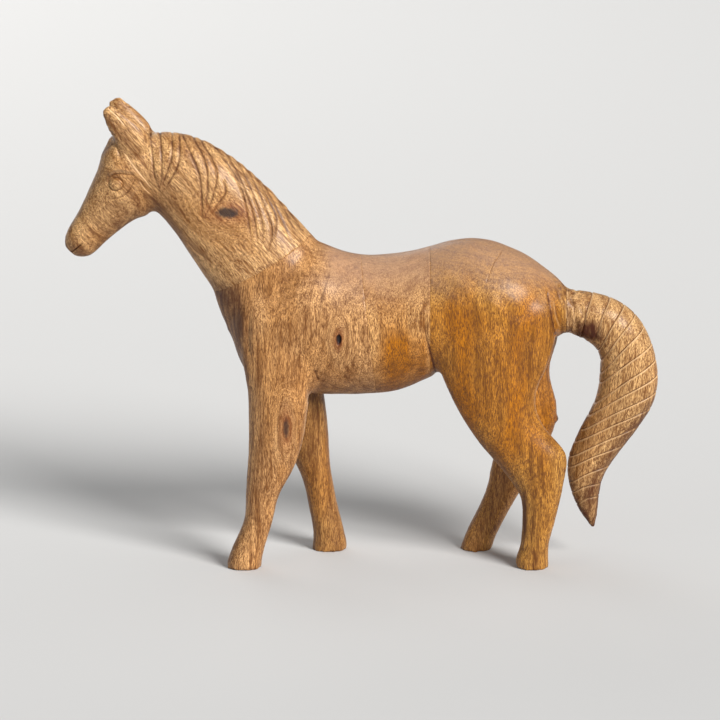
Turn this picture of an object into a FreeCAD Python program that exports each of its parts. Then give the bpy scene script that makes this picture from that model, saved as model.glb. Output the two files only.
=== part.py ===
"""Carved wooden foal, built from glued hardwood blocks pinned with dowels.

Millimetres. +Z is up, the nose points to -X, the foal's left side is -Y.
The origin is the middle of the standing surface.
"""
import FreeCAD, Part
import os

# Each carved mass is a loft through ellipse sections. A section is
# (x, y, z, tilt, depth, width): its centre, its turn about the Y axis in
# degrees, its size in the plane of symmetry and its size across the body.
LOFTS = {
    "torso": [
        (-128, 0, 240, 90, 30, 26),
        (-117, 0, 238, 90, 78, 66),
        (-99, 0, 232, 90, 120, 91),
        (-74, 0, 233, 90, 140, 101),
        (-50, 0, 238, 90, 150, 103),
        (-22, 0, 232.5, 90, 140, 101),
        (5, 0, 230, 90, 134, 100),
        (35, 0, 233, 90, 132, 100),
        (65, 0, 242.5, 90, 126, 102),
        (100, 0, 253, 90, 120, 105),
        (128, 0, 254, 90, 110, 103),
        (152, 0, 251, 90, 96, 94),
        (172, 0, 248, 90, 76, 72),
        (185, 0, 246.5, 90, 58, 50),
        (193, 0, 244.5, 90, 44, 37),
    ],
    "neck": [
        (-78, 0, 260, -31, 118, 84),
        (-95, 0, 291.5, -31, 107, 74),
        (-112, 0, 313, -43, 103, 68),
        (-131, 0, 336, -50, 99, 62),
        (-151, 0, 358, -54, 91, 57),
        (-170, 0, 373, -62, 84, 53),
        (-188, 0, 380, -76, 78, 49),
        (-204, 0, 380, -90, 70, 42),
    ],
    "head": [
        (-196, 0, 384, -90, 62, 40),
        (-209, 0, 380, -102, 76, 46),
        (-226, 0, 370, -119, 78, 48),
        (-232.3, 0, 359, -124, 62, 46),
        (-241.5, 0, 346, -128, 51, 40),
        (-251, 0, 332.5, -132, 42, 34),
        (-259.5, 0, 321, -134, 37, 31),
        (-267, 0, 311, -136, 33, 29),
        (-272.5, 0, 305, -138, 25, 22),
        (-276, 0, 301.5, -140, 14, 12),
    ],
    "left_ear": [
        (-212, -11, 402, -32, 34, 20),
        (-218, -12, 413, -32, 34, 19),
        (-227, -13, 427, -32, 27, 15),
        (-236, -13.5, 438, -32, 18, 10),
        (-242, -14, 446, -32, 9, 5),
    ],
    "right_ear": [
        (-210, 11, 402, -27, 33, 20),
        (-214, 12, 413, -27, 32, 19),
        (-221.5, 13, 427, -27, 26, 15),
        (-230, 13.5, 438.5, -27, 19, 10),
        (-234.5, 14, 447, -27, 12, 6),
    ],
    "left_foreleg": [
        (-112.5, -33, 0, 0, 33, 32),
        (-109, -33, 16, 0, 31, 30),
        (-101, -33, 38, 0, 28, 27),
        (-97, -33, 54, 0, 28, 27),
        (-94, -33, 74, 0, 33, 29),
        (-86, -33, 101, 0, 45, 34),
        (-81, -32, 133, 0, 53, 39),
        (-79, -31, 165, 0, 58, 42),
        (-78, -29, 198, 0, 70, 44),
        (-76, -26, 232, 0, 80, 46),
        (-75, -23, 264, 0, 66, 38),
        (-74, -20, 284, 0, 36, 20),
    ],
    "right_foreleg": [
        (-31, 33, 0, 0, 34, 32),
        (-31.5, 33, 16, 0, 30, 29),
        (-36, 33, 38, 0, 28, 27),
        (-41, 33, 62, 0, 28, 27),
        (-46, 33, 82, 0, 32, 29),
        (-52, 33, 104, 0, 41, 33),
        (-58, 32, 133, 0, 49, 38),
        (-67, 31, 165, 0, 58, 42),
        (-75, 29, 198, 0, 70, 44),
        (-76, 26, 232, 0, 80, 46),
        (-75, 23, 264, 0, 66, 38),
        (-74, 20, 284, 0, 36, 20),
    ],
    "left_hind_leg": [
        (162, -33, 0, 0, 31, 30),
        (163, -33, 16, 0, 28, 27),
        (167, -33, 40, 0, 30, 26),
        (170, -33, 62, -6, 36, 27),
        (170.5, -33, 82, -18, 47, 30),
        (165, -33, 101, -20, 60, 34),
        (151, -33, 119, -27, 58, 39),
        (136, -32.5, 143, -27, 65, 44),
        (128, -32, 170, -14, 82, 48),
        (124, -30, 198, 0, 104, 52),
        (126, -26, 232, 0, 118, 54),
        (126, -22, 264, 0, 104, 46),
        (122, -18, 288, 0, 62, 30),
    ],
    "right_hind_leg": [
        (109, 33, 0, 0, 31, 30),
        (113.5, 33, 14, 14, 28, 27),
        (122, 33, 32, 22, 27, 26),
        (133, 33, 55, 18, 30, 27),
        (144, 33, 80, 0, 42, 30),
        (153, 33, 103, -18, 58, 34),
        (153, 33, 128, -16, 68, 39),
        (140, 32.5, 155, -10, 82, 44),
        (132, 32, 176, -6, 94, 48),
        (129, 30, 202, 0, 111, 52),
        (127, 26, 232, 0, 119, 54),
        (126, 22, 264, 0, 104, 46),
        (122, 18, 288, 0, 62, 30),
    ],
    "tail_root": [
        (176, 0, 246, 90, 38, 32),
        (194, 0, 244, 90, 42, 35),
        (211, 0, 239.5, 98, 45, 38),
        (227.5, 0, 233, 110, 49, 41),
        (240.7, 0, 222, 127, 52.5, 43),
        (246.8, 0, 210.8, 138, 55, 43.6),
        (248, 0, 207, 142, 55.5, 43.8),
    ],
    "tail_hair": [
        (248, 0, 207, 142, 55.5, 43.8),
        (249.2, 0, 203.2, 146, 56, 44),
        (253, 0, 181, 168, 56.5, 44),
        (250, 0, 157, 182, 56, 42),
        (239, 0, 135.5, 191, 51, 38),
        (225, 0, 112.7, 193, 45.5, 34),
        (214.8, 0, 92, 189, 39, 29),
        (212, 0, 76, 187, 32, 25),
        (213.2, 0, 59, 182, 24.5, 20),
        (217.7, 0, 40, 174, 12, 10),
        (220, 0, 29, 174, 5, 4),
    ],
}
SECTION_FIELDS = ("cx", "cy", "cz", "tilt", "depth", "width")

# Sawn seams between the blocks: a point on the seam in the plane of symmetry
# and the turn of the seam about the Y axis (0 lies flat, 90 stands across).
SEAMS = {
    "neck_seam": (-95, 291.5, -31),
    "shoulder_seam": (6.3, 232, 83.6),
    "flank_seam": (64.6, 240, 90),
    "tail_seam": (194, 244, 90),
}

# Dowels: (seam or side plane, offset along the seam in the plane of symmetry,
# offset across the body). Cross dowels give their x and z instead.
DOWEL_DIAMETER = 10
DOWEL_LENGTH = 44
SEAM_DOWELS = {
    "neck_dowels": ("neck_seam", [(0, -17), (0, 17)]),
    "shoulder_dowels": ("shoulder_seam", [(20, -22), (20, 22), (-30, -18), (-30, 18)]),
    "flank_dowels": ("flank_seam", [(20, -22), (20, 22), (-30, -18), (-30, 18)]),
    "tail_dowel": ("tail_seam", [(0, 0)]),
}
CROSS_DOWELS = {
    "chest_cross_dowels": [(-96, 232), (-52, 204)],
    "rump_cross_dowels": [(104, 226), (148, 262)],
}

doc = FreeCAD.newDocument("carved_foal")
sheet = doc.addObject("Spreadsheet::Sheet", "Sizes")
row_count = 0


def put(alias, value):
    """Write one named number to the sheet and return its expression name."""
    global row_count
    row_count += 1
    sheet.set("A%d" % row_count, alias)
    sheet.set("B%d" % row_count, str(value))
    sheet.setAlias("B%d" % row_count, alias)
    return "Sizes." + alias


def bind(obj, **expressions):
    for name, expression in expressions.items():
        obj.setExpression(name, expression)
    return obj


def add(kind, name, **expressions):
    return bind(doc.addObject("Part::" + kind, name), **expressions)


def combine(kind, name, base, tool):
    obj = doc.addObject("Part::" + kind, name)
    obj.Base = base
    obj.Tool = tool
    return obj


def placed(x, y, z, turn):
    """Placement expression: a point and a turn about the Y axis."""
    return "placement(vector(%s; %s; %s); rotation(vector(0; 1; 0); %s))" % (x, y, z, turn)


def loft(name, sections):
    ellipses = []
    for index, section in enumerate(sections):
        stem = "%s_%d" % (name, index)
        cell = {}
        for field, value in zip(SECTION_FIELDS, section):
            cell[field] = put(stem + "_" + field, value)
        ellipses.append(add(
            "Ellipse", stem,
            MajorRadius=cell["depth"] + " / 2",
            MinorRadius=cell["width"] + " / 2",
            Placement=placed(cell["cx"], cell["cy"], cell["cz"], cell["tilt"]),
        ))
    solid = doc.addObject("Part::Loft", name)
    solid.Sections = ellipses
    solid.Solid = True
    return solid


def seam_block(name, seam, below):
    """A block of space on one side of a seam, its face lying on the seam."""
    cell = seam_cells[seam]
    obj = add("Box", name, Length=reach + " * 2", Width=reach + " * 2", Height=reach)
    shift = "-%s" % reach
    lift = shift if below else "0"
    bind(obj, Placement="%s * placement(vector(%s; %s; %s); rotation(vector(0; 0; 1); 0))"
         % (placed(cell["cx"], "0", cell["cz"], cell["turn"]), shift, shift, lift))
    return obj


reach = put("reach", 700)
dowel_diameter = put("dowel_diameter", DOWEL_DIAMETER)
dowel_length = put("dowel_length", DOWEL_LENGTH)
seam_cells = {}
for seam, (cx, cz, turn) in SEAMS.items():
    seam_cells[seam] = {
        "cx": put(seam + "_cx", cx),
        "cz": put(seam + "_cz", cz),
        "turn": put(seam + "_turn", turn),
    }
doc.recompute()

masses = {name: loft(name, sections) for name, sections in LOFTS.items()}

tail_whole = combine("Fuse", "tail_whole", masses["tail_root"], masses["tail_hair"])

# Half-spaces that divide the carved body into its blocks.
above_neck = seam_block("above_neck_seam", "neck_seam", below=False)
behind_shoulder = seam_block("behind_shoulder_seam", "shoulder_seam", below=False)
behind_flank = seam_block("behind_flank_seam", "flank_seam", below=False)
before_tail = seam_block("before_tail_seam", "tail_seam", below=True)
left_side = add("Box", "left_side", Length=reach + " * 2", Width=reach, Height=reach + " * 2")
bind(left_side, Placement="placement(vector(-%s; -%s; -%s); rotation(vector(0; 0; 1); 0))"
     % (reach, reach, reach))

# The dock is the stub of the rump that the tail is pinned to.
dock = combine("Common", "dock", masses["tail_root"], before_tail)
body = doc.addObject("Part::MultiFuse", "body")
body.Shapes = [mass for name, mass in masses.items() if not name.startswith("tail")] + [dock]

below_neck = combine("Cut", "body_below_neck", body, above_neck)
front = combine("Cut", "front", below_neck, behind_shoulder)
middle_and_rear = combine("Common", "middle_and_rear", below_neck, behind_shoulder)
rear = combine("Common", "rear", middle_and_rear, behind_flank)

carved = {
    "head_neck_block": combine("Common", "head_and_neck", body, above_neck),
    "left_forequarter": combine("Common", "front_left_half", front, left_side),
    "right_forequarter": combine("Cut", "front_right_half", front, left_side),
    "barrel_block": combine("Cut", "middle", middle_and_rear, behind_flank),
    "left_hindquarter": combine("Common", "rear_left_half", rear, left_side),
    "right_hindquarter": combine("Cut", "rear_right_half", rear, left_side),
    "tail_block": combine("Cut", "tail_behind_seam", tail_whole, before_tail),
}

# Hidden dowels: across each seam, and across the two halves of each quarter.
dowels = {}


def dowel(name, placement):
    pin = add("Cylinder", name, Radius=dowel_diameter + " / 2", Height=dowel_length)
    return bind(pin, Placement=placement)


def group(name, pins):
    if len(pins) == 1:
        dowels[name] = pins[0]
    else:
        dowels[name] = doc.addObject("Part::MultiFuse", name)
        dowels[name].Shapes = pins
    dowels[name].Label = name


for name, (seam, offsets) in SEAM_DOWELS.items():
    cell = seam_cells[seam]
    pins = []
    for index, (along, across) in enumerate(offsets):
        stem = "%s_%d" % (name, index)
        pins.append(dowel(stem, "%s * placement(vector(%s; %s; -%s / 2); rotation(vector(0; 0; 1); 0))" % (
            placed(cell["cx"], "0", cell["cz"], cell["turn"]),
            put(stem + "_along", along), put(stem + "_across", across), dowel_length)))
    group(name, pins)

for name, points in CROSS_DOWELS.items():
    pins = []
    for index, (x, z) in enumerate(points):
        stem = "%s_%d" % (name, index)
        pins.append(dowel(stem, "placement(vector(%s; -%s / 2; %s); rotation(vector(1; 0; 0); -90))" % (
            put(stem + "_cx", x), dowel_length, put(stem + "_cz", z))))
    group(name, pins)

all_dowels = doc.addObject("Part::MultiFuse", "all_dowels")
all_dowels.Shapes = list(dowels.values())

nodes = dict(dowels)
for name, solid in carved.items():
    nodes[name] = combine("Cut", name, solid, all_dowels)
    nodes[name].Label = name

doc.recompute()

for obj in doc.Objects:
    if "Invalid" in obj.State or "Error" in obj.State:
        raise RuntimeError("%s did not rebuild: %s" % (obj.Name, obj.State))

os.makedirs("parts", exist_ok=True)
for name, node in sorted(nodes.items()):
    if node.Shape.isNull() or not node.Shape.isValid():
        raise RuntimeError(name + " has no valid shape")
    box = node.Shape.optimalBoundingBox(True, False)
    print("%-22s solids %d volume %9.0f x %.1f..%.1f y %.1f..%.1f z %.1f..%.1f" % (
        name, len(node.Shape.Solids), node.Shape.Volume,
        box.XMin, box.XMax, box.YMin, box.YMax, box.ZMin, box.ZMax))
    node.Shape.exportStep("parts/%s.step" % name)
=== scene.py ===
"""Carved wooden foal: the glued blocks are sculpted from the CAD solids and given lacquered wood, with
painted shade and painted highlights.
"""
import math

import bmesh
import bpy
import numpy as np
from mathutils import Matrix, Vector
from mathutils.geometry import delaunay_2d_cdt


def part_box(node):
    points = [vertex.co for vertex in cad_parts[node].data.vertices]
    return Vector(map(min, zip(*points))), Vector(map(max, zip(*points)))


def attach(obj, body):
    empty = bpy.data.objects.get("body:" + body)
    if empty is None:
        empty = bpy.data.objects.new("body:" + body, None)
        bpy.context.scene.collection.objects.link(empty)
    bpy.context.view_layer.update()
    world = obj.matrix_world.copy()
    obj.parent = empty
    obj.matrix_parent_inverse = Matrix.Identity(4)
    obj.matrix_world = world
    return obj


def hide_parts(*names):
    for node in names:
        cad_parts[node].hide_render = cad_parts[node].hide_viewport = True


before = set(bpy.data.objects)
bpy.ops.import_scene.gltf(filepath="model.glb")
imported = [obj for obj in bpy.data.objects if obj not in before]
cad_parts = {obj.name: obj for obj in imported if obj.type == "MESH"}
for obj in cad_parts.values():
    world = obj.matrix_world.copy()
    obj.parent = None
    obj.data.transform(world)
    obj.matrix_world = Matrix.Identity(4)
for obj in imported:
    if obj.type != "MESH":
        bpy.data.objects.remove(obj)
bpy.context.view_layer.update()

MM = 0.001
BLOCKS = ["head_neck_block", "left_forequarter", "right_forequarter", "barrel_block",
          "left_hindquarter", "right_hindquarter", "tail_block"]
DOWELS = ["neck_dowels", "shoulder_dowels", "flank_dowels", "tail_dowel", "chest_cross_dowels",
          "rump_cross_dowels"]


# ---------------------------------------------------------------- mesh arrays

def points_of(mesh):
    flat = np.empty(len(mesh.vertices) * 3, np.float32)
    mesh.vertices.foreach_get("co", flat)
    return flat.reshape(-1, 3).astype(float)


def normals_of(mesh):
    flat = np.empty(len(mesh.vertices) * 3, np.float32)
    mesh.vertex_normals.foreach_get("vector", flat)
    return flat.reshape(-1, 3).astype(float)


def edges_of(mesh):
    flat = np.empty(len(mesh.edges) * 2, np.int32)
    mesh.edges.foreach_get("vertices", flat)
    return flat.reshape(-1, 2)


def put_points(mesh, points):
    mesh.vertices.foreach_set("co", points.astype(np.float32).ravel())
    mesh.update()


def island_labels(count, edges):
    """The lowest vertex number of the connected island that each vertex is in."""
    label = np.arange(count)
    while True:
        low = np.minimum(label[edges[:, 0]], label[edges[:, 1]])
        new = label.copy()
        np.minimum.at(new, edges[:, 0], low)
        np.minimum.at(new, edges[:, 1], low)
        np.minimum.at(new, label[edges[:, 0]], low)
        np.minimum.at(new, label[edges[:, 1]], low)
        new = new[new]
        if np.array_equal(new, label):
            return label
        label = new


def step(value, low, high):
    """Smooth step from 0 at low to 1 at high."""
    share = np.clip((value - low) / (high - low), 0, 1)
    return share * share * (3 - 2 * share)


def new_object(name, data):
    obj = bpy.data.objects.new(name, data)
    bpy.context.scene.collection.objects.link(obj)
    return obj


def apply_modifiers(obj):
    graph = bpy.context.evaluated_depsgraph_get()
    made = bpy.data.meshes.new_from_object(obj.evaluated_get(graph))
    obj.modifiers.clear()
    obj.data = made


# ---------------------------------------------------------------- the uncut carving

def pins_of(node):
    """Centre, axis, radius and length of each dowel in a node."""
    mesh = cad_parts[node].data
    points, index = np.unique(points_of(mesh).round(6), axis=0, return_inverse=True)
    label = island_labels(len(points), index.ravel()[edges_of(mesh)])
    pins = []
    for one in np.unique(label):
        own = points[label == one]
        start = own.mean(0)
        _, across = np.linalg.eigh((own - start).T @ (own - start))
        along = (own - start) @ across
        reach = np.ptp(along, axis=0)
        longest = int(np.argmax(reach))
        pins.append({
            "centre": start + across @ ((along.min(0) + along.max(0)) / 2),
            "axis": across[:, longest],
            "radius": reach.min() / 2,
            "length": reach[longest],
        })
    return pins


def joined_copy(name, nodes):
    """One new object that holds copies of the nodes' meshes."""
    merged = bmesh.new()
    for node in nodes:
        merged.from_mesh(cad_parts[node].data)
    mesh = bpy.data.meshes.new(name)
    merged.to_mesh(mesh)
    merged.free()
    return new_object(name, mesh)


def keep_largest_island(obj):
    """Drops the inner shells that the voxel remesh leaves."""
    mesh = obj.data
    label = island_labels(len(mesh.vertices), edges_of(mesh))
    names, counts = np.unique(label, return_counts=True)
    keep = names[np.argmax(counts)]
    if len(names) > 1:
        cleaned = bmesh.new()
        cleaned.from_mesh(mesh)
        cleaned.verts.ensure_lookup_table()
        drop = [cleaned.verts[i] for i in np.nonzero(label != keep)[0]]
        bmesh.ops.delete(cleaned, geom=drop, context="VERTS")
        cleaned.to_mesh(mesh)
        cleaned.free()


def neighbour_mean(values, edges, counts):
    """The mean of each vertex's neighbours. counts holds how many neighbours each has."""
    total = np.empty_like(values)
    a, b = edges[:, 0], edges[:, 1]
    for k in range(values.shape[1]):
        total[:, k] = np.bincount(a, values[b, k], len(values))
        total[:, k] += np.bincount(b, values[a, k], len(values))
    return total / counts[:, None]


def even_out(points, edges, counts, rounds):
    """Smooths without shrinking: each round pulls the points in and pushes them out again."""
    pull, push = 0.5, 0.53
    for _ in range(rounds):
        points += pull * (neighbour_mean(points, edges, counts) - points)
        points -= push * (neighbour_mean(points, edges, counts) - points)


def soften(mesh, crease_mm):
    """Evens out the whole surface, then fills and rounds the hollow creases where masses meet.

    A crease counts as hollow in full when a point lies crease_mm below its neighbours. The
    ears keep their creases."""
    first_rounds, spread_rounds, crease_rounds, last_rounds = 8, 6, 36, 4
    spread, crease_pull = 1.15, 0.6
    points, edges = points_of(mesh), edges_of(mesh)
    counts = np.bincount(edges.ravel(), minlength=len(points)).astype(float)
    even_out(points, edges, counts, first_rounds)
    put_points(mesh, points)
    normals = normals_of(mesh)
    hollow = ((neighbour_mean(points, edges, counts) - points) * normals).sum(1)
    weight = np.clip(hollow / (crease_mm * MM), 0, 1)[:, None]
    for _ in range(spread_rounds):
        weight = np.maximum(weight, neighbour_mean(weight, edges, counts) * spread)
        weight = np.clip(weight, 0, 1)
    x, _, z = (points / MM).T
    ears = step(x, -195, -207) * step(z, 385, 402)
    weight *= 1 - ears[:, None]
    for _ in range(crease_rounds):
        points += crease_pull * weight * (neighbour_mean(points, edges, counts) - points)
    even_out(points, edges, counts, last_rounds)
    put_points(mesh, points)


def uncut_carving(voxel_mm):
    """The whole figure as one even, softened surface, made from copies of the CAD blocks."""
    whole = joined_copy("uncut", BLOCKS)
    remesh = whole.modifiers.new("voxels", "REMESH")
    remesh.mode = "VOXEL"
    remesh.voxel_size = voxel_mm * MM
    apply_modifiers(whole)
    keep_largest_island(whole)
    soften(whole.data, crease_mm=0.3)
    finer = whole.modifiers.new("finer", "SUBSURF")
    finer.levels = 1
    finer.render_levels = 1
    apply_modifiers(whole)
    return whole


# ---------------------------------------------------------------- surfaces as arrays

class Surface:
    """A triangle surface: points, triangles, and whether each triangle lies on a glued face."""

    FEWEST_POINTS = 50
    WELD_DISTANCE = 4e-6
    PLANE_GAP = 0.04 * MM
    ON_PLANE = 1e-6

    def __init__(self, points, tris, glued=None):
        self.points = points
        self.tris = tris
        self.glued = np.zeros(len(tris), bool) if glued is None else glued

    @classmethod
    def of_mesh(cls, mesh):
        mesh.calc_loop_triangles()
        flat = np.empty(len(mesh.loop_triangles) * 3, np.int32)
        mesh.loop_triangles.foreach_get("vertices", flat)
        return cls(points_of(mesh), flat.reshape(-1, 3).astype(np.int64))

    def half_edges(self):
        return np.concatenate([self.tris[:, [0, 1]], self.tris[:, [1, 2]], self.tris[:, [2, 0]]])

    def normals(self):
        """Vertex normals from the carved triangles only."""
        own = self.tris[~self.glued]
        a, b, c = (self.points[own[:, k]] for k in range(3))
        face = np.cross(b - a, c - a)
        total = np.zeros_like(self.points)
        for k in range(3):
            for axis in range(3):
                total[:, axis] += np.bincount(own[:, k], face[:, axis], len(self.points))
        size = np.linalg.norm(total, axis=1)
        return total / np.maximum(size, 1e-20)[:, None]

    def islands(self):
        """The connected parts, without specks of a few points."""
        label = island_labels(len(self.points), self.half_edges())
        names, counts = np.unique(label, return_counts=True)
        parts = []
        for one in names[counts > self.FEWEST_POINTS]:
            own = label[self.tris[:, 0]] == one
            used, tris = np.unique(self.tris[own], return_inverse=True)
            part = Surface(self.points[used], tris.reshape(-1, 3), self.glued[own])
            part.weld()
            parts.append(part)
        return parts

    def weld(self):
        """Merges points closer than a few micrometres and drops the triangles that vanish."""
        _, first, where = np.unique((self.points / self.WELD_DISTANCE).round(), axis=0,
                                    return_index=True, return_inverse=True)
        tris = where.ravel()[self.tris]
        whole = (tris[:, 0] != tris[:, 1]) & (tris[:, 1] != tris[:, 2]) & (tris[:, 2] != tris[:, 0])
        self.points = self.points[first]
        self.tris = tris[whole]
        self.glued = self.glued[whole]

    def middle(self):
        return (self.points.min(0) + self.points.max(0)) / 2

    def refine(self, wanted):
        """Halves the edges of the wanted triangles, and splits their neighbours to match."""
        count = len(self.points)
        edges = np.sort(np.stack([self.tris, np.roll(self.tris, -1, axis=1)], axis=2), axis=2)
        key = edges[..., 0] * count + edges[..., 1]
        marked = np.unique(key[wanted])
        split = np.isin(key, marked)
        middle = count + np.searchsorted(marked, key)
        new = (self.points[marked // count] + self.points[marked % count]) / 2
        amount = split.sum(1)
        made, glued = [self.tris[amount == 0]], [self.glued[amount == 0]]
        for pattern in range(1, 8):
            bits = np.array([pattern & 1, pattern >> 1 & 1, pattern >> 2 & 1], bool)
            rows = np.nonzero((split == bits).all(1))[0]
            if not len(rows):
                continue
            turn = {1: 0, 2: 1, 4: 2, 3: 0, 6: 1, 5: 2, 7: 0}[pattern]
            a, b, c = (self.tris[rows, (turn + k) % 3] for k in range(3))
            ab, bc, ca = (middle[rows, (turn + k) % 3] for k in range(3))
            if bits.sum() == 1:
                pieces = [(a, ab, c), (ab, b, c)]
            elif bits.sum() == 2:
                pieces = [(ab, b, bc), (a, ab, bc), (a, bc, c)]
            else:
                pieces = [(a, ab, ca), (ab, b, bc), (ca, bc, c), (ab, bc, ca)]
            for piece in pieces:
                made.append(np.stack(piece, axis=1))
                glued.append(self.glued[rows])
        self.points = np.concatenate([self.points, new])
        self.tris = np.concatenate(made)
        self.glued = np.concatenate(glued)

    def part_along(self, point, normal, region=None):
        """Cuts the surface on a plane, within a region of it, and parts it there.

        Points closer to the plane than a small gap are first moved that far from it."""
        count = len(self.points)
        height = (self.points - point) @ normal
        gap = self.PLANE_GAP
        close = np.abs(height) < gap
        shift = np.where(height[close] < 0, -gap, gap) - height[close]
        self.points[close] += shift[:, None] * normal
        height[close] += shift
        above = height[self.tris] > 0
        crossing = above.any(1) & ~above.all(1)
        if region is not None:
            crossing &= region(self.points[self.tris].mean(1))
        rows = np.nonzero(crossing)[0]
        up = above[rows]
        lone_up = up.sum(1) == 1
        lone = np.argmax(up == lone_up[:, None], axis=1)
        a, b, c = (self.tris[rows, (lone + k) % 3] for k in range(3))
        ends = np.stack([np.stack([a, b], 1), np.stack([a, c], 1)], 1)
        low, high = ends.min(2), ends.max(2)
        keys, where = np.unique(low * count + high, return_inverse=True)
        where = where.reshape(-1, 2)
        first, last = keys // count, keys % count
        share = (height[first] / (height[first] - height[last]))[:, None]
        new = self.points[first] * (1 - share) + self.points[last] * share
        near = count + where + np.where(lone_up, len(keys), 0)[:, None]
        far = count + where + np.where(lone_up, 0, len(keys))[:, None]
        made = [
            self.tris[~crossing],
            np.stack([a, near[:, 0], near[:, 1]], 1),
            np.stack([far[:, 0], b, c], 1),
            np.stack([far[:, 0], c, far[:, 1]], 1),
        ]
        glued = self.glued[rows]
        self.points = np.concatenate([self.points, new, new])
        self.tris = np.concatenate(made)
        self.glued = np.concatenate([self.glued[~crossing], glued, glued, glued])

    def close(self, point, normal, pins, sink_mm):
        """Closes the open rim on a seam, with a blind hole for each dowel.

        A rim that stops at another cut gets a straight edge between its two ends. The rim
        is first sunk a little below the carved surface, so the seam shows."""
        halves = self.half_edges()
        owner = np.tile(np.arange(len(self.tris)), 3)
        count = len(self.points)
        alone = ~np.isin(halves[:, 0] * count + halves[:, 1], halves[:, 1] * count + halves[:, 0])
        flat = np.abs((self.points[halves] - point) @ normal).max(1) < self.ON_PLANE
        rim, owner = halves[alone & flat], owner[alone & flat]
        if not len(rim):
            return
        third = self.tris[owner].sum(1) - rim.sum(1)
        inward = normal * np.sign(((self.points[third] - point) @ normal).sum())
        side = np.cross(inward, [0.0, 0.0, 1.0] if abs(inward[2]) < 0.9 else [1.0, 0.0, 0.0])
        side /= np.linalg.norm(side)
        other = np.cross(inward, side)

        last, first = np.setdiff1d(rim[:, 1], rim[:, 0]), np.setdiff1d(rim[:, 0], rim[:, 1])
        corners = np.unique(rim)
        fixed = np.union1d(np.union1d(last, first), np.intersect1d(corners, self.tris[self.glued]))
        self.sink(np.setdiff1d(corners, fixed), fixed, normal, sink_mm)
        rim = np.concatenate([rim, np.stack([last, first], 1)])

        steps = 32
        holes, walls = self.add_holes(pins, point, normal, inward, side, other, steps)
        border = np.concatenate([rim] + holes)
        used, local = np.unique(border, return_inverse=True)
        plan = np.stack([(self.points[used] - point) @ side, (self.points[used] - point) @ other], 1)
        origin, fill = self.filled_outline(plan, local.reshape(-1, 2))
        ring = (used[origin] - count) // (2 * steps)
        own_ring = ring[fill]
        over_hole = (own_ring[:, 0] >= 0) & (own_ring == own_ring[:, :1]).all(1)
        new = [used[origin[fill[~over_hole]]]] + walls
        self.tris = np.concatenate([self.tris] + new)
        self.glued = np.concatenate([self.glued, np.ones(sum(map(len, new)), bool)])

    def sink(self, carved, fixed, normal, sink_mm):
        """Lowers the carved rim points in the seam's plane, less so near the fixed corners."""
        fade_mm, even_mm = 3, 0.8
        flattest, steepest = 0.15, 0.45
        slope = self.normals()[carved]
        slope -= (slope @ normal)[:, None] * normal
        apart = np.linalg.norm(self.points[carved, None] - self.points[None, carved], axis=2)
        weight = np.exp(-(apart / (even_mm * MM)) ** 2)
        slope = weight @ slope / weight.sum(1)[:, None]
        length = np.linalg.norm(slope, axis=1)[:, None]
        amount = np.full(len(carved), sink_mm * MM)
        if len(fixed):
            away = np.linalg.norm(self.points[carved, None] - self.points[None, fixed], axis=2)
            amount *= np.clip(away.min(1) / (fade_mm * MM), 0, 1)
        slope *= step(length, flattest, steepest) / np.maximum(length, 1e-9)
        self.points[carved] -= slope * amount[:, None]

    def add_holes(self, pins, point, normal, inward, side, other, steps):
        """Adds the points of a blind hole for each dowel: returns the rings' edges and the walls."""
        turns = 2 * np.pi * np.arange(steps) / steps
        spokes = np.outer(np.cos(turns), side) + np.outer(np.sin(turns), other)
        k, after = np.arange(steps), (np.arange(steps) + 1) % steps
        start = len(self.points)
        points, rings, walls = [self.points], [], []
        for pin in pins:
            centre = pin["centre"] - normal * ((pin["centre"] - point) @ normal)
            ring = centre + spokes * pin["radius"]
            floor = ring + inward * pin["length"] / 2
            points += [ring, floor]
            r, n, f, g = start + k, start + after, start + steps + k, start + steps + after
            walls += [np.stack([r, f, n], 1), np.stack([n, f, g], 1),
                      np.stack([f, np.full(steps, start + steps), g], 1)[1:-1]]
            rings.append(np.stack([r, n], 1))
            start += 2 * steps
        self.points = np.concatenate(points)
        return rings, walls

    @staticmethod
    def filled_outline(plan, edges):
        """Triangles inside a flat outline, wound clockwise, and the outline point of each corner."""
        scale = 1000.0
        inside_with_holes = 2
        result = delaunay_2d_cdt([Vector(p) for p in plan * scale], [tuple(map(int, e)) for e in edges],
                                 [], inside_with_holes, 1e-6)
        placed = np.array([tuple(p) for p in result[0]])
        origin = np.array([own[0] if own else -1 for own in result[3]])
        fill = np.array([face for face in result[2] if len(face) == 3])
        fill = fill[(origin[fill] >= 0).all(1)]
        corner = placed[fill]
        turning = np.cross(corner[:, 1] - corner[:, 0], corner[:, 2] - corner[:, 0])
        if turning.sum() > 0:
            fill = fill[:, ::-1]
        return origin, fill

    def to_mesh(self, name):
        mesh = bpy.data.meshes.new(name)
        mesh.vertices.add(len(self.points))
        mesh.loops.add(len(self.tris) * 3)
        mesh.polygons.add(len(self.tris))
        mesh.loops.foreach_set("vertex_index", self.tris.astype(np.int32).ravel())
        mesh.polygons.foreach_set("loop_start", np.arange(len(self.tris), dtype=np.int32) * 3)
        put_points(mesh, self.points)
        mesh.update(calc_edges=True)
        mesh.validate()
        return mesh


# ---------------------------------------------------------------- carved details

def smooth_line(corners, per_span=8):
    """A smooth curve through the corners, as a dense line."""
    corners = np.array(corners, float)
    before = 2 * corners[0] - corners[1]
    after = 2 * corners[-1] - corners[-2]
    ends = np.vstack([before, corners, after])
    share = np.linspace(0, 1, per_span, endpoint=False)[:, None]
    line = []
    for a, b, c, d in zip(ends, ends[1:], ends[2:], ends[3:]):
        line.append(0.5 * (2 * b + (c - a) * share + (2 * a - 5 * b + 4 * c - d) * share ** 2
                           + (3 * b - a - 3 * c + d) * share ** 3))
    return np.vstack(line + [corners[-1:]])


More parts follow.
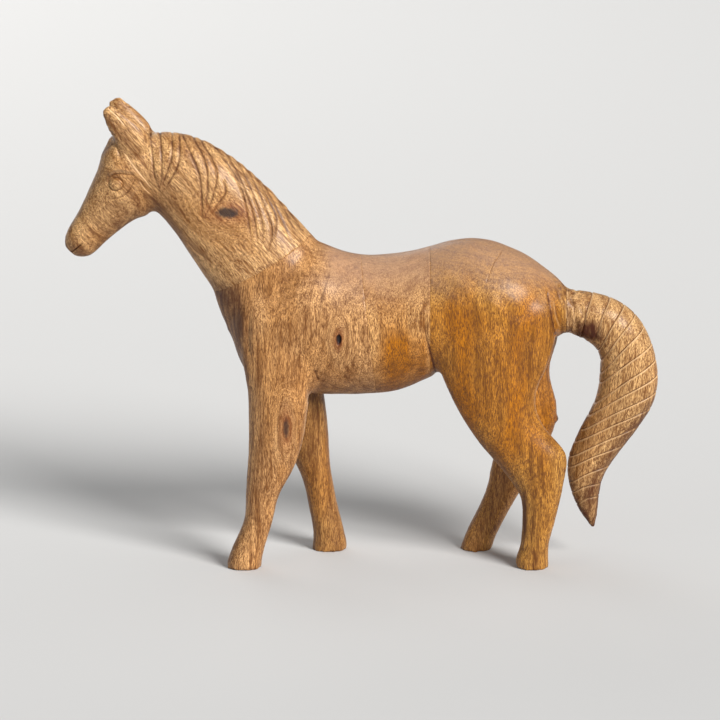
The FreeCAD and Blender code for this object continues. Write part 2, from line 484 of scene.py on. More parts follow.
class Cut:
    """A line cut into the wood, drawn on the side view in millimetres.

    It reaches half_width to each side and is depth deep (negative for a raised line).
    The fourth argument darkens the cut, partly as staining in the groove and partly as painted
    shade, which moves onto the upper wall when the fifth argument is set; the fifth argument is a
    painted highlight on the lower edge, where light falls on the groove's wall. Both run from 0
    to 1. sides is -1 for the left side only, 1 for the right and 0 for both."""

    def __init__(self, corners, depth, half_width, stain=0.0, lit_edge_highlight=0.0, sides=0, tapers=(0.12, 0.2)):
        self.line = smooth_line(corners)
        self.depth, self.half_width = depth, half_width
        self.stain, self.lit_edge_highlight = stain, lit_edge_highlight
        self.sides, self.tapers = sides, tapers

    def measure(self, points, margin):
        """The points near the line, their distance from it, height over it and share along it."""
        low, high = self.line.min(0) - margin, self.line.max(0) + margin
        flat = points[:, [0, 2]]
        found = ((flat > low) & (flat < high)).all(1)
        if self.sides:
            found &= points[:, 1] * self.sides > 0
        rows = np.nonzero(found)[0]
        flat = flat[rows]
        best = np.full(len(rows), 1e9)
        over, along = np.zeros(len(rows)), np.zeros(len(rows))
        spans = np.diff(self.line, axis=0)
        lengths = np.linalg.norm(spans, axis=1)
        travelled = np.concatenate([[0], np.cumsum(lengths)])
        for start, span, length, so_far in zip(self.line, spans, lengths, travelled):
            share = np.clip(((flat - start) @ span) / length ** 2, 0, 1)
            offset = flat - start - share[:, None] * span
            away = np.linalg.norm(offset, axis=1)
            closer = away < best
            best[closer] = away[closer]
            over[closer] = np.where(offset[:, 1] > 0, away, -away)[closer]
            along[closer] = (so_far + share * length)[closer] / travelled[-1]
        return rows, best, over, along

    def fade(self, along):
        """Full along the line, falling to nothing over the tapers at its two ends."""
        return step(along, 0, self.tapers[0]) * step(along, 1, 1 - self.tapers[1])

    def inset(self, best, along):
        """How deep the cut is at the given distances from its line, in millimetres."""
        return self.depth * np.clip(1 - best / self.half_width, 0, 1) ** 1.2 * self.fade(along)


# mane cuts, each from the crest down, on the side view in millimetres
MANE = [
    [(-201, 421), (-199, 406), (-197, 384), (-193, 368)],
    [(-192, 421), (-190, 404), (-190, 384), (-192, 368)],
    [(-180, 420), (-180, 400), (-185, 384), (-191, 367)],
    [(-173, 418), (-173, 396), (-180, 380), (-192, 361)],
    [(-171, 418), (-161, 400), (-153, 377), (-151, 333)],
    [(-162, 417), (-150, 398), (-146, 377), (-148, 345)],
    [(-155, 414), (-141, 394), (-138, 374), (-151, 336)],
    [(-131, 378), (-129, 366), (-135, 357), (-148, 339)],
    [(-148, 412), (-131, 395), (-113, 365), (-103, 309)],
    [(-133, 404), (-117, 380), (-103, 345), (-98, 309)],
    [(-124, 398), (-108, 373), (-94, 335), (-97, 308)],
    [(-113, 389), (-97, 362), (-85, 328), (-94, 300)],
    [(-106, 383), (-88, 355), (-81, 336), (-86, 313)],
    [(-97, 374), (-79, 344), (-66, 315)],
    [(-84, 361), (-70, 338), (-61, 320)],
    [(-71, 344), (-62, 331), (-55, 322)],
]
# tail cuts, each from the outer edge of the tail to the inner one
TAIL = [
    ((219, 262), (208, 221)), ((236, 258), (220, 216)), ((250, 251), (223, 203)),
    ((262, 243), (224, 191)), ((271, 231), (224, 180)), ((278, 213), (223, 171)),
    ((281, 197), (219, 152)), ((283, 182), (213, 140)), ((281, 165), (208, 127)),
    ((278, 150), (200, 114)), ((266, 132), (196, 100)), ((250, 113), (194, 89)),
    ((235, 92), (197, 75)), ((228, 75), (199, 65)), ((226, 62), (203, 53)),
]


def tail_cut(outer, inner):
    """A tail line bows up a little between its ends."""
    bow = ((outer[0] + inner[0]) / 2 - 1, (outer[1] + inner[1]) / 2 + 3)
    # each tail line gets a painted highlight on its lower edge and painted shade on its upper wall
    return Cut([outer, bow, inner], 1.0, 1.0, 0.75, 0.9, tapers=(0.02, 0.02))


CUTS = [Cut(line, 1.0, 1.8, 0.72, tapers=(0.05, 0.3)) for line in MANE]
CUTS += [tail_cut(outer, inner) for outer, inner in TAIL]
CUTS += [
    # eyelids and the fold below the eye; the raised lines carry painted highlights
    Cut([(-241, 371), (-240, 378), (-235, 382), (-227, 383), (-214, 381)], 0.8, 1.1, 0.55),
    Cut([(-241, 380), (-236, 386), (-227, 387), (-212, 384)], -0.9, 2.2, 0, 0.35),
    Cut([(-214, 381), (-219, 369), (-225, 362), (-232, 359), (-242, 357)], 0.8, 1.3, 0.5),
    Cut([(-212, 376), (-216, 366), (-223, 358), (-232, 355)], -0.5, 2.0, 0, 0.2),
    # mouth
    Cut([(-276, 302), (-270, 308), (-264, 314)], 1.8, 1.0, 0.95, tapers=(0.02, 0.3)),
    Cut([(-270, 319), (-262, 315), (-257, 307)], 0.35, 2.0, 0.1),
    # knife marks behind the eye, with painted highlights, and the fold between the jaw and the neck
    Cut([(-226, 405), (-211, 385), (-196, 366)], 0.45, 1.2, 0.3, 0.7),
    Cut([(-220, 399), (-208, 381), (-200, 372)], 0.3, 0.9, 0.1, 0.6),
    Cut([(-211, 377), (-205, 368), (-199, 362)], 0.35, 0.9, 0.25, 0.6),
    Cut([(-192, 368), (-193, 362), (-194, 356)], 0.6, 2.4, 0.35, tapers=(0.1, 0.7)),
    # front edge of the ear's root, the parting of the ears with a painted highlight, and the pared
    # forehead
    Cut([(-238, 424), (-234, 412), (-230, 402), (-227, 396)], 1.3, 2.2, 0.6),
    Cut([(-240, 446), (-231, 438), (-222, 427)], 0.5, 1.0, 0.4, 0.8, sides=-1, tapers=(0.02, 0.3)),
    Cut([(-234, 411), (-243, 402), (-250, 392)], 0.35, 0.8, 0.7, sides=-1, tapers=(0.1, 0.1)),
    # thigh fold at the flank, with a painted shadow line along it
    Cut([(61, 262), (60, 239), (64, 218), (68, 199), (72, 180)], 1.7, 6.0, tapers=(0.6, 0.02)),
    Cut([(61, 250), (60, 239), (64, 218), (68, 199), (72, 178)], 1.6, 2.0, 1.0, tapers=(0.4, 0.02)),
    # muscle ridge of the haunch, and the hollow behind it, lightly darkened as painted shade
    Cut([(116, 271), (128, 259), (145, 238)], -1.3, 9.0, tapers=(0.3, 0.3)),
    Cut([(157, 246), (154, 222), (151, 200), (147, 176)], 2.2, 11.0, 0.12, tapers=(0.3, 0.3)),
    # chisel cuts round the dock stub and at the tail's seam, with painted highlights
    Cut([(175, 272), (178, 254), (184, 224)], 1.3, 1.6, 0.85, tapers=(0.15, 0.02)),
    Cut([(194, 267), (194, 255), (194.5, 240), (194, 224)], 0, 1.0, 0.8, 0.5, tapers=(0.05, 0.02)),
    Cut([(182, 262), (184, 248), (189, 230)], 0.7, 1.3, 0.5, 0.3),
    Cut([(199, 262), (201, 245), (199, 226)], 0.5, 1.0, 0.7, 0.7, tapers=(0.5, 0.02)),
    Cut([(212, 240), (207, 230), (204, 221)], 0.6, 1.6, 0.8, 0.5, tapers=(0.3, 0.02)),
    # painted shade: a dark streak down the front of the near shank
    Cut([(143, 104), (152, 84), (155, 60), (154, 28)], 0, 3.2, 0.6, sides=-1, tapers=(0.3, 0.1)),
    # facet line below the neck seam
    Cut([(-103, 285), (-98, 278), (-93, 269)], 0.3, 0.9, 0.5, sides=-1),
    # elbow, and the hollow between chest and foreleg; the hollow's darkening is painted shade
    Cut([(-45, 197), (-43, 190), (-41, 184)], 0.8, 1.2, 0.8),
    Cut([(-52, 186), (-50, 172), (-49, 162)], 1.2, 3.5, 0.25, tapers=(0.5, 0.02)),
    Cut([(-106, 262), (-108, 238), (-108, 218), (-104, 196)], 1.6, 5.0, 0.45, tapers=(0.4, 0.4)),
    # ridge left between two facets on the barrel
    Cut([(34, 232), (45, 240), (55, 247), (62, 257)], -0.8, 5.0, tapers=(0.3, 0.1)),
    # flat between the ears and the brow
    Cut([(-236, 418), (-242, 408), (-248, 394)], 2.6, 9.0, tapers=(0.02, 0.6)),
    # drying check on the croup and dark figure on the shoulder, left side only
    Cut([(134, 306), (126, 299), (121, 290), (117, 281)], 0.4, 0.55, 0.4, sides=-1),
    Cut([(-30, 300), (-33, 281), (-38, 266), (-44, 240)], 0, 2.2, 0.6, sides=-1, tapers=(0.4, 0.4)),
    Cut([(-22, 222), (-23, 212), (-27, 203)], 0.3, 0.8, 0.5, sides=-1, tapers=(0.02, 0.5)),
]
EYE = (-233, 372.5)
EYE_RADIUS = 6.0
KNOT_HOLE = (-22, 228)


# margin round a cut, widest cut taken, and reach round the eyes and the knot hole, each in mm
REFINEMENTS = ((0.1, 3, 11, 9), (-0.2, 1.1, 8, 7))


def refine_near_cuts(surface):
    """Gives the cuts a finer mesh, and the eyes, tail lines and knot hole one finer still."""
    for margin, widest, eye_reach, hole_reach in REFINEMENTS:
        centres = surface.points[surface.tris].mean(1) / MM
        wanted = np.zeros(len(centres), bool)
        for cut in CUTS:
            if cut.depth and cut.half_width <= widest:
                rows, best, _, _ = cut.measure(centres, cut.half_width + 1)
                wanted[rows[best < cut.half_width + margin]] = True
        on_side = np.abs(centres[:, 1]) > 8
        for centre, reach in ((EYE, eye_reach), (KNOT_HOLE, hole_reach)):
            away = np.hypot(centres[:, 0] - centre[0], centres[:, 2] - centre[1])
            wanted |= on_side & (away < reach)
        surface.refine(wanted)


def from_eye(x, z):
    """Distance from the centre of the eye in the side view, drawn in a little along X."""
    return np.hypot((x - EYE[0]) / 1.12, z - EYE[1])


def from_knot_hole(x, z):
    """Distance from the centre of the upright oval knot hole, as a share of its radii."""
    return np.hypot((x - KNOT_HOLE[0]) / 2.6, (z - KNOT_HOLE[1]) / 5.6)


def dock_chips(x, y, z):
    """Rough upright chisel marks round the dock and the tail's root, from 0 to 1."""
    region = step(x, 180, 188) * step(x, 220, 206) * step(z, 205, 215)
    strokes = np.sin(x / 2.1 + 1.2 * np.sin(z / 9 + y / 6)) ** 2
    return region * strokes * np.sin(z / 7.5 + y / 4.1 + x / 4.3) ** 2


def hand_cut_waves(x, y, z):
    """Long shallow unevenness, as a knife leaves it, between about -1.5 and 1.5."""
    waves = np.sin(x / 7.3 + 1.1 * np.sin(z / 11)) * np.sin(z / 8.1 + y / 9 + 0.7 * np.sin(x / 13))
    return waves + 0.5 * np.sin(x / 3.9 + z / 4.7) * np.sin(y / 4.1 - z / 5.3)


def on_face(x, y):
    """The two cheeks, where the eyes are."""
    return (np.abs(y) > 8) & (x < -190)


def carve(surface):
    """Moves the points in or out along the normals to carve the details. Sizes are in mm."""
    wave_height, chip_depth, knot_hole_depth = 0.16, 1.3, 2.4
    socket_depth, socket_width, ball_height = 1.0, 9.0, 2.4
    ring_depth, ring_width = 0.4, 0.9
    hock_point, hock_height, hock_width = (186, 128), 2.2, 3.2
    tail_seam = 194

    points, normals = surface.points / MM, surface.normals()
    sunk, raised = np.zeros(len(points)), np.zeros(len(points))
    for cut in CUTS:
        if cut.depth:
            rows, best, _, along = cut.measure(points, cut.half_width)
            amount = cut.inset(best, along)
            sunk[rows] = np.maximum(sunk[rows], amount)
            raised[rows] = np.minimum(raised[rows], amount)
    inset = sunk + raised
    x, y, z = points.T
    away = from_eye(x, z)
    socket = socket_depth * np.exp(-(away / socket_width) ** 2)
    ball = np.sqrt(np.clip(1 - (away / EYE_RADIUS) ** 2, 0, 1)) * ball_height
    ring = ring_depth * np.exp(-((away - EYE_RADIUS) / ring_width) ** 2)
    inset += np.where(on_face(x, y), socket + ring - ball, 0)
    hole = from_knot_hole(x, z)
    inset += np.where((y < -20) & (hole < 1.4), knot_hole_depth * (1 - step(hole, 0.45, 1.1)), 0)
    from_hock = (x - hock_point[0]) ** 2 + (z - hock_point[1]) ** 2
    inset -= hock_height * np.exp(-from_hock / hock_width ** 2) * (y > 20)
    inset += wave_height * hand_cut_waves(x, y, z)
    inset += chip_depth * dock_chips(x, y, z) * step(np.abs(x - tail_seam), 1.5, 5)
    surface.points = surface.points - normals * inset[:, None] * MM
    surface.points[:, 2] = np.maximum(surface.points[:, 2], 0)


def cut_tones(points):
    """How dark the cuts are, as staining and painted shade, and how strong the painted highlights on
    their lower edges, both from 0 to 1.
    """
    edge_share, edge_shift, measured_widths = 0.55, 0.3, 3
    # the eye's ring and the dock's chisel marks are drawn darker
    ring_stain, chip_stain = 0.15, 0.65

    points = points / MM
    dark, painted_highlight = np.zeros(len(points)), np.zeros(len(points))
    for cut in CUTS:
        rows, _, over, along = cut.measure(points, measured_widths * cut.half_width)
        fade = cut.fade(along)
        # with a painted highlight, the darkening moves onto the upper wall as painted shade
        shift = edge_shift * cut.half_width if cut.lit_edge_highlight else 0
        reach = edge_share * cut.half_width
        dark[rows] = np.maximum(dark[rows], cut.stain * fade * np.exp(-((over - shift) / reach) ** 2))
        # painted highlight below the line, on the wall that faces the light
        painted_highlight[rows] = np.maximum(painted_highlight[rows], cut.lit_edge_highlight * fade * np.exp(-((over + reach) / reach) ** 2))
    x, y, z = points.T
    ring = ring_stain * np.exp(-((from_eye(x, z) - EYE_RADIUS - 0.4) / 0.8) ** 2)
    dark = np.maximum(dark, np.where(on_face(x, y), ring, 0))
    dark = np.maximum(dark, np.where(y < -20, 1 - step(from_knot_hole(x, z), 0.8, 1.15), 0))
    dark = np.maximum(dark, chip_stain * dock_chips(x, y, z))
    return dark, painted_highlight * (1 - dark)


# ---------------------------------------------------------------- cutting into blocks

def seam_from(node):
    """The seam that a node's dowels cross squarely at their middles: a point and a normal."""
    pins = pins_of(node)
    centre = np.mean([pin["centre"] for pin in pins], axis=0)
    axis = pins[0]["axis"]
    if axis[0] < 0:
        axis = -axis
    return centre, axis


def cut_into_blocks(whole):
    """Parts the carving at every seam, then closes each part on the faces it was cut from."""
    sink_mm = 0.25
    tail_region_mm = 40
    seams = {name: seam_from(name) for name in
             ("neck_dowels", "shoulder_dowels", "flank_dowels", "tail_dowel")}
    tail_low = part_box("tail_dowel")[0].z - tail_region_mm * MM
    for name, (point, normal) in seams.items():
        region = (lambda p: p[:, 2] > tail_low) if name == "tail_dowel" else None
        whole.part_along(point, normal, region)
    head, front, barrel, rear, tail = sorted(whole.islands(), key=lambda part: part.middle()[0])
    for part, names in ((head, ["neck_dowels"]), (barrel, ["shoulder_dowels", "flank_dowels"]),
                        (rear, ["tail_dowel"]), (tail, ["tail_dowel"])):
        for name in names:
            part.close(*seams[name], pins_of(name), sink_mm)
    blocks = {"head_neck_block": head, "barrel_block": barrel, "tail_block": tail}
    middle, across = np.zeros(3), np.array([0.0, 1.0, 0.0])
    for part, ending, pins, names in (
            (front, "forequarter", "chest_cross_dowels", ["neck_dowels", "shoulder_dowels"]),
            (rear, "hindquarter", "rump_cross_dowels", ["flank_dowels"])):
        part.part_along(middle, across)
        for half in part.islands():
            side = math.copysign(1, half.middle()[1])
            for name in names:
                own = [pin for pin in pins_of(name) if pin["centre"][1] * side > 0]
                half.close(*seams[name], own, sink_mm)
            half.close(middle, across, pins_of(pins), sink_mm / 2)
            blocks[("left_" if side < 0 else "right_") + ending] = half
    return blocks


def finished_block(name, surface):
    """Makes the object that stands in for a CAD block."""
    sharpest_smooth_angle = 48
    mesh = surface.to_mesh(name + "_carved")
    mesh.shade_smooth()
    mesh.set_sharp_from_angle(angle=math.radians(sharpest_smooth_angle))
    obj = new_object(name + "_carved", mesh)
    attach(obj, "root")
    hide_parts(name)
    return obj


uncut = uncut_carving(voxel_mm=2.6)
whole = Surface.of_mesh(uncut.data)
bpy.data.objects.remove(uncut)
refine_near_cuts(whole)
carve(whole)
blocks = cut_into_blocks(whole)
pieces = {name: finished_block(name, block) for name, block in blocks.items()}


# ---------------------------------------------------------------- lacquered wood, with painted shade and highlights

class Graph:
    """Short calls for building a material's nodes."""

    def __init__(self, name):
        self.material = bpy.data.materials.new(name)
        self.material.use_nodes = True
        self.tree = self.material.node_tree
        self.shader = self.tree.nodes["Principled BSDF"]

    def node(self, kind, inputs=None, **settings):
        made = self.tree.nodes.new(kind)
        for name, value in settings.items():
            setattr(made, name, value)
        for name, value in (inputs or {}).items():
            self.put(made.inputs[name], value)
        return made

    def put(self, socket, value):
        if isinstance(value, bpy.types.NodeSocket):
            self.tree.links.new(value, socket)
        else:
            socket.default_value = value

    def math(self, operation, a, b=0.0, clamp=False):
        made = self.node("ShaderNodeMath", operation=operation, use_clamp=clamp)
        self.put(made.inputs[0], a)
        self.put(made.inputs[1], b)
        return made.outputs[0]

    def vector(self, operation, a, b):
        made = self.node("ShaderNodeVectorMath", operation=operation)
        self.put(made.inputs[0], a)
        if operation == "SCALE":
            self.put(made.inputs["Scale"], b)
        elif b is not None:
            self.put(made.inputs[1], b)
        return made.outputs["Value" if operation in ("LENGTH", "DOT_PRODUCT") else "Vector"]

    def mix(self, factor, a, b, blend="MIX"):
        made = self.node("ShaderNodeMix", data_type="RGBA", blend_type=blend)
        self.put(made.inputs["Factor"], factor)
        self.put(made.inputs[6], a if isinstance(a, bpy.types.NodeSocket) else (*a, 1))
        self.put(made.inputs[7], b if isinstance(b, bpy.types.NodeSocket) else (*b, 1))
        return made.outputs[2]

    def ramp(self, value, low, high, to_low=0.0, to_high=1.0):
        made = self.node("ShaderNodeMapRange", {"Value": value, "From Min": low, "From Max": high,
                                                "To Min": to_low, "To Max": to_high},
                         interpolation_type="SMOOTHSTEP")
        return made.outputs["Result"]

    def noise(self, place, cell, detail=2.0, rough=0.5):
        """Noise whose cells have the given size in millimetres along each axis."""
        scaled = self.vector("DIVIDE", place, cell)
        made = self.node("ShaderNodeTexNoise", {"Vector": scaled, "Scale": 1.0, "Detail": detail,
                                                "Roughness": rough})
        return made.outputs["Fac"]


def srgb(red, green, blue):
    """Linear colour from 0 to 255 display values."""
    return tuple((v / 255 / 12.92) if v / 255 <= 0.04045 else ((v / 255 + 0.055) / 1.055) ** 2.4
                 for v in (red, green, blue))


WARM = srgb(200, 122, 8)
# painted reflection of the sky in the lacquer, for the upward-facing tops
PAINTED_SKY_SHEEN = srgb(176, 141, 118)
PORE = srgb(98, 54, 20)
FINE_PORE = srgb(100, 54, 18)
# painted highlight for the lit lower edges of cuts
PAINTED_EDGE_HIGHLIGHT = srgb(244, 200, 146)
# staining in the cuts, with painted shade in cuts, hollows and undersides
GROOVE_STAIN_AND_SHADE = srgb(74, 32, 8)
KNOT_HALO = srgb(120, 58, 22)
KNOT_CORE = srgb(36, 26, 24)


def bend_round_knots(g, place, knots):
    """Pushes the grain aside round the knots: returns the bent place, and their cores and halos."""
    bend, wobble_share, deep = -0.45, 0.8, 1e4
    core, halo, bent = 0.0, 0.0, place
    for x, z, width, height, darkness in knots:
        offset = g.vector("SUBTRACT", place, (x, 0, z))
        away = g.vector("DIVIDE", offset, (width / 2, deep, height / 2))
        wobble = g.noise(place, (3.0, 3.0, 3.0), 2.0)
        reach = g.math("ADD", g.vector("LENGTH", away, None), g.math("MULTIPLY", wobble, wobble_share))
        core = g.math("MAXIMUM", core, g.math("MULTIPLY", g.ramp(reach, 1.7, 0.9), darkness))
        halo = g.math("MAXIMUM", halo, g.ramp(reach, 3.4, 1.2))
        push = g.math("MULTIPLY", g.ramp(reach, 6.0, 1.0), bend)
        bent = g.vector("ADD", bent, g.vector("SCALE", offset, push))
    return bent, core, halo


def growth_rings(g, from_pith, scale, distortion, detail_scale):
    wave = g.node("ShaderNodeTexWave", {"Vector": from_pith, "Scale": scale, "Distortion": distortion,
                                        "Detail": 2.0, "Detail Scale": detail_scale},
                  wave_type="RINGS", rings_direction="Z")
    return wave.outputs["Fac"]


def weighted_sum(g, layers):
    total = 0.0
    for layer, weight in layers:
        total = g.math("ADD", total, g.math("MULTIPLY", layer, weight))
    return total


def wood_material(name, grain_turn, pith, light, dark, seed, knots=()):
    """Lacquered wood. The local Z axis, turned by grain_turn, runs along the grain.

    pith is where the centre of the growth rings lies across the grain, in millimetres.
    knots are (x, z, width, height, darkness) in millimetres, seen from the side.
    The vertex colour "finish" gives, in red, the darkening, which is partly staining and darker wood
    and partly painted shade in the cuts, hollows, chest, under the jaw and on undersides; in green,
    the warmth; in blue, a painted reflection of the sky on the tops; and in its alpha, painted
    highlights on the lower edges of the cuts."""
    g = Graph(name)
    place = g.vector("SCALE", g.node("ShaderNodeTexCoord").outputs["Object"], 1000.0)
    bent, knot_core, knot_halo = bend_round_knots(g, place, knots)
    turned = g.node("ShaderNodeVectorRotate", {"Vector": bent, "Rotation": grain_turn},
                    rotation_type="EULER_XYZ", invert=True).outputs["Vector"]
    own_part = (seed * 37.0, seed * 91.0, seed * 53.0)
    turned = g.vector("ADD", turned, own_part)
    wander = g.node("ShaderNodeTexNoise", {"Vector": g.vector("DIVIDE", turned, (38.0, 38.0, 120.0)),
                                           "Scale": 1.0, "Detail": 1.0}).outputs["Color"]
    wander = g.vector("SCALE", g.vector("SUBTRACT", wander, (0.5, 0.5, 0.5)), 16.0)
    flow = g.vector("ADD", turned, wander)

    fibre = g.ramp(g.noise(flow, (1.3, 1.3, 26.0), 3.0, 0.6), 0.3, 0.7)
    streak = g.ramp(g.noise(flow, (6.0, 6.0, 110.0), 3.0, 0.6), 0.3, 0.7)
    lines = g.ramp(g.noise(flow, (1.9, 1.9, 70.0), 2.0, 0.6), 0.42, 0.7)
    patch = g.ramp(g.noise(flow, (30.0, 30.0, 90.0), 1.0), 0.35, 0.65)
    pores = g.ramp(g.noise(turned, (0.62, 0.62, 6.5), 2.0, 0.6), 0.46, 0.6)
    fine_pores = g.ramp(g.noise(turned, (0.4, 0.4, 2.6), 1.0, 0.5), 0.5, 0.64)
    centre = (pith[0] + own_part[0], pith[1] + own_part[1], 0.0)
    from_pith = g.vector("SUBTRACT", flow, centre)
    rings = growth_rings(g, from_pith, 0.082, 3.0, 0.03)
    broad_rings = growth_rings(g, from_pith, 0.021, 2.5, 0.02)

    wood_tones_and_painted_light = g.node("ShaderNodeAttribute", attribute_name="wood_tones_and_painted_light")
    tone = g.node("ShaderNodeSeparateColor", {"Color": wood_tones_and_painted_light.outputs["Color"]})
    # red: staining with painted shade; green: warmth; blue: painted sky reflection; alpha: painted
    # highlights on cut edges
    cut, warmth, sky_sheen = tone.outputs[0], tone.outputs[1], tone.outputs[2]
    highlit_edge = wood_tones_and_painted_light.outputs["Alpha"]

    grain = weighted_sum(g, [(streak, 0.42), (fibre, 0.36), (lines, 0.38), (rings, 0.2),
                             (broad_rings, 0.24)])
    depth = g.math("SUBTRACT", grain, 0.3, clamp=True)
    patchiness = g.math("MULTIPLY", g.math("SUBTRACT", patch, 0.5), 0.5)
    warm_share = g.math("ADD", warmth, patchiness, clamp=True)
    warm_colour = g.mix(depth, WARM, [value * 0.4 for value in WARM])
    colour = g.mix(warm_share, g.mix(depth, light, dark), warm_colour)
    # painted sky reflection on the tops, which also veils the pores there
    colour = g.mix(g.math("MULTIPLY", sky_sheen, 0.62), colour, PAINTED_SKY_SHEEN)
    speckle = g.math("SUBTRACT", 0.84, g.math("MULTIPLY", sky_sheen, 0.46))
    colour = g.mix(g.math("MULTIPLY", pores, speckle), colour, PORE)
    fine_speckle = g.math("MULTIPLY", speckle, 0.7)
    colour = g.mix(g.math("MULTIPLY", fine_pores, fine_speckle), colour, FINE_PORE)
    # painted highlight on the lower edges of cuts
    colour = g.mix(g.math("MULTIPLY", highlit_edge, 0.85), colour, PAINTED_EDGE_HIGHLIGHT)
    # staining and painted shade, varied along the grain streaks
    streak_strength = g.math("ADD", 0.65, g.math("MULTIPLY", streak, 0.7))
    colour = g.mix(g.math("MULTIPLY", cut, streak_strength, clamp=True), colour, GROOVE_STAIN_AND_SHADE)
    if knots:
        colour = g.mix(g.math("MULTIPLY", knot_halo, 0.5), colour, KNOT_HALO)
        colour = g.mix(knot_core, colour, KNOT_CORE)
    g.put(g.shader.inputs["Base Color"], colour)

    gloss = g.math("ADD", 0.36, weighted_sum(g, [(fibre, 0.1), (cut, 0.25)]))
    g.put(g.shader.inputs["Roughness"], gloss)
    g.shader.inputs["Coat Weight"].default_value = 0.22
    g.shader.inputs["Coat Roughness"].default_value = 0.28
    g.shader.inputs["Coat IOR"].default_value = 1.45
    g.shader.inputs["Specular IOR Level"].default_value = 0.22

    relief = weighted_sum(g, [(fibre, 0.35), (pores, -0.6), (fine_pores, -0.25)])
    bump = g.node("ShaderNodeBump", {"Height": relief, "Strength": 0.7, "Distance": 0.0003})
    g.put(g.shader.inputs["Normal"], bump.outputs["Normal"])
    return g.material


UPRIGHT = (0.0, 0.0, 0.0)
ALONG_NECK = (0.0, math.radians(-42), 0.0)
ALONG_TAIL = (0.0, math.radians(8), 0.0)
ACROSS = (math.radians(90), 0.0, 0.0)
MATERIALS = {
    "head_neck_block": wood_material(
        "neck_wood", ALONG_NECK, (60, -30), srgb(247, 196, 132), srgb(134, 82, 30), 1,
        [(-127, 347, 23, 11, 0.9)]),
    "left_forequarter": wood_material(
        "left_shoulder_wood", UPRIGHT, (-60, 60), srgb(234, 178, 116), srgb(118, 70, 24), 2,
        [(-22, 228, 5, 11, 1.0), (-72, 141, 6, 20, 0.75)]),
    # the right forequarter's wood is painted darker, as painted shade on the far foreleg
    "right_forequarter": wood_material(
        "right_shoulder_wood_painted_darker", UPRIGHT, (-70, -50), srgb(190, 138, 76), srgb(98, 58, 18), 3),
    "barrel_block": wood_material(
        "barrel_wood", UPRIGHT, (30, 70), srgb(234, 178, 112), srgb(140, 86, 30), 4),
    "left_hindquarter": wood_material(
        "left_haunch_wood", UPRIGHT, (120, 40), srgb(216, 156, 72), srgb(90, 50, 6), 5),
    "right_hindquarter": wood_material(
        "right_haunch_wood", UPRIGHT, (130, -30), srgb(214, 154, 82), srgb(104, 60, 12), 6,
        [(188, 129, 5, 6, 0.9)]),
    "tail_block": wood_material(
        "tail_wood", ALONG_TAIL, (300, 60), srgb(244, 194, 130), srgb(126, 78, 28), 7),
    "dowels": wood_material(
        "dowel_wood", ACROSS, (9, 9), srgb(214, 176, 126), srgb(170, 126, 78), 8),
}


def tones_with_painted_light(points, normals):
    """Per-point darkening, warmth and painted sky reflection on the tops, from 0 to 1. The darkening is
    partly darker wood and staining, partly painted shade. Places are in millimetres.
    """
    x, y, z = (points / MM).T
    up = normals[:, 2]
    on_body = step(x, -45, -25) * step(x, 196, 186) * step(z, 150, 180)
    # upward-facing tops of the body are painted paler: a painted reflection of the sky
    sky_sheen = on_body * step(up, 0.1, 0.85) * step(z, 225, 285)
    lower_barrel = step(x, 10, 30) * step(x, 66, 58) * step(z, 250, 218)
    haunch = step(x, 62, 66) * step(x, 196, 180) * step(z, 288, 245) * step(z, 60, 150)
    warmth = np.maximum(lower_barrel * 0.9, haunch * 0.75)
    # the chest front is darker: partly darker wood, partly painted shade
    chest = step(x, -98, -118) * step(z, 285, 265) * step(z, 120, 190)
    # surfaces facing down are darker: painted shade
    underside_shade = step(-up, 0.0, 0.9)
    # on the head and the top of the neck, surfaces that don't face up are darker: painted shade
    head_underside_shade = step(x, -150, -190) * step(-up, -0.35, 0.5)
    tail_root = step(x, 198, 206) * step(x, 232, 222) * step(z, 214, 222) * step(z, 243, 232)
    tail_edge = 228 + (z - 75) * 0.667
    outer_tail = 0.15 + 0.6 * step(x, tail_edge - 26, tail_edge)
    tail_end = step(x, 193, 205) * step(z, 185, 140)
    stain = np.max([chest * 0.62, underside_shade * 0.35, head_underside_shade * 0.5, tail_root * 0.85,
                    tail_end * outer_tail], axis=0)
    return np.stack([stain, warmth, sky_sheen], 1)


def paint(obj):
    """Stores the tones, with the painted shade and painted highlights, on the vertices, for the wood
    materials to read.
    """
    mesh = obj.data
    points = points_of(mesh)
    tones = tones_with_painted_light(points, normals_of(mesh))
    dark, painted_highlight = cut_tones(points)
    tones[:, 0] = np.maximum(tones[:, 0], dark)
    layer = mesh.color_attributes.new("wood_tones_and_painted_light", "FLOAT_COLOR", "POINT")
    layer.data.foreach_set("color", np.c_[tones, painted_highlight].astype(np.float32).ravel())


for name, piece in pieces.items():
    piece.data.materials.append(MATERIALS[name])
    paint(piece)
for name in DOWELS:
    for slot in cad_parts[name].material_slots:
        slot.material = MATERIALS["dowels"]


# ---------------------------------------------------------------- stage

FLOOR_HALF_SIZE = 400
FLOOR_COLOUR = (0.6, 0.59, 0.575)
WORLD_COLOUR = (0.9, 0.95, 1.0)
WORLD_STRENGTH = 0.22
MIDDLE = (0, 0, 0.22)
CAMERA_AIM_MM = (-1.9, 0, 194.7)
CAMERA_TILT = 15
CAMERA_DISTANCE = 19.0


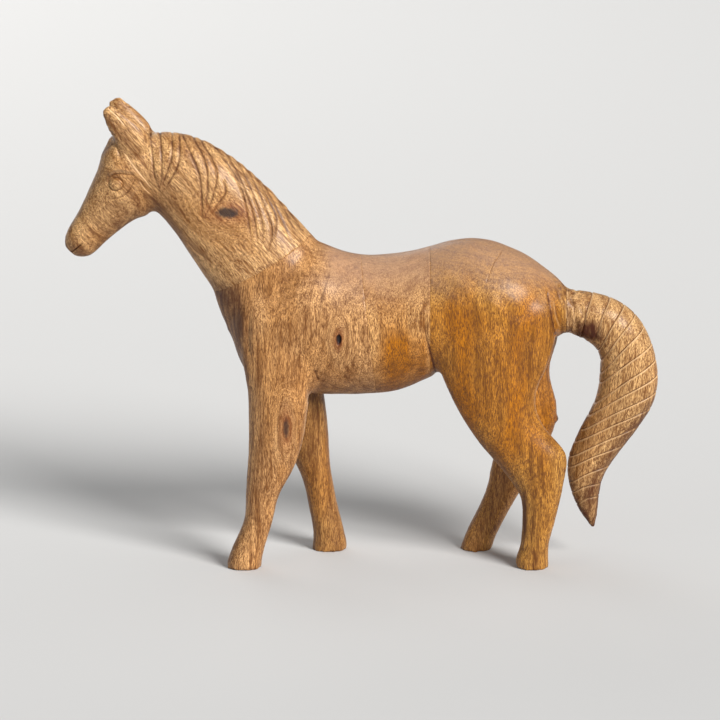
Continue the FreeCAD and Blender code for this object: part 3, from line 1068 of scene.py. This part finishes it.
def make_floor():
    corners = [(-1, -1), (1, -1), (1, 1), (-1, 1)]
    mesh = bpy.data.meshes.new("floor")
    mesh.from_pydata([(x * FLOOR_HALF_SIZE, y * FLOOR_HALF_SIZE, 0) for x, y in corners], [],
                     [(0, 1, 2, 3)])
    paint_job = bpy.data.materials.new("floor_paint")
    paint_job.use_nodes = True
    shader = paint_job.node_tree.nodes["Principled BSDF"]
    shader.inputs["Base Color"].default_value = (*FLOOR_COLOUR, 1)
    shader.inputs["Roughness"].default_value = 1.0
    shader.inputs["Specular IOR Level"].default_value = 0
    floor = new_object("floor", mesh)
    floor.data.materials.append(paint_job)


def add_lamp(name, data, place, aim):
    lamp = new_object(name, data)
    lamp.location = place
    lamp.rotation_euler = (Vector(aim) - Vector(place)).to_track_quat("-Z", "Y").to_euler()


def area_light(name, place, size, power):
    data = bpy.data.lights.new(name, "AREA")
    data.shape = "RECTANGLE"
    data.size, data.size_y = size
    data.energy = power
    add_lamp(name, data, place, MIDDLE)


def soft_sun(name, place, strength, spread):
    """A large soft light far away, which lights the object and the floor evenly."""
    data = bpy.data.lights.new(name, "SUN")
    data.energy = strength
    data.angle = math.radians(spread)
    add_lamp(name, data, place, (0, 0, 0))


def make_world():
    world = bpy.data.worlds.new("world")
    bpy.context.scene.world = world
    world.use_nodes = True
    background = world.node_tree.nodes["Background"]
    background.inputs["Color"].default_value = (*WORLD_COLOUR, 1)
    background.inputs["Strength"].default_value = WORLD_STRENGTH


def make_camera():
    data = bpy.data.cameras.new("camera")
    data.lens = 1000
    data.sensor_width = 36
    camera = new_object("camera", data)
    aim = Vector(CAMERA_AIM_MM) * MM
    tilt = math.radians(CAMERA_TILT)
    camera.location = aim + CAMERA_DISTANCE * Vector((0, -math.cos(tilt), math.sin(tilt)))
    camera.rotation_euler = (aim - camera.location).to_track_quat("-Z", "Y").to_euler()
    bpy.context.scene.camera = camera


bpy.context.scene.view_settings.view_transform = "Standard"
make_floor()
soft_sun("key", (2.1, -2.4, 1.9), 4.7, 26)
area_light("fill", (-2.2, -1.8, 1.2), (2.0, 2.0), 5)
area_light("back", (-1.2, 2.6, 1.3), (2.2, 1.8), 24)
area_light("top", (0.2, 0.8, 2.6), (2.4, 2.0), 12)
make_world()
make_camera()
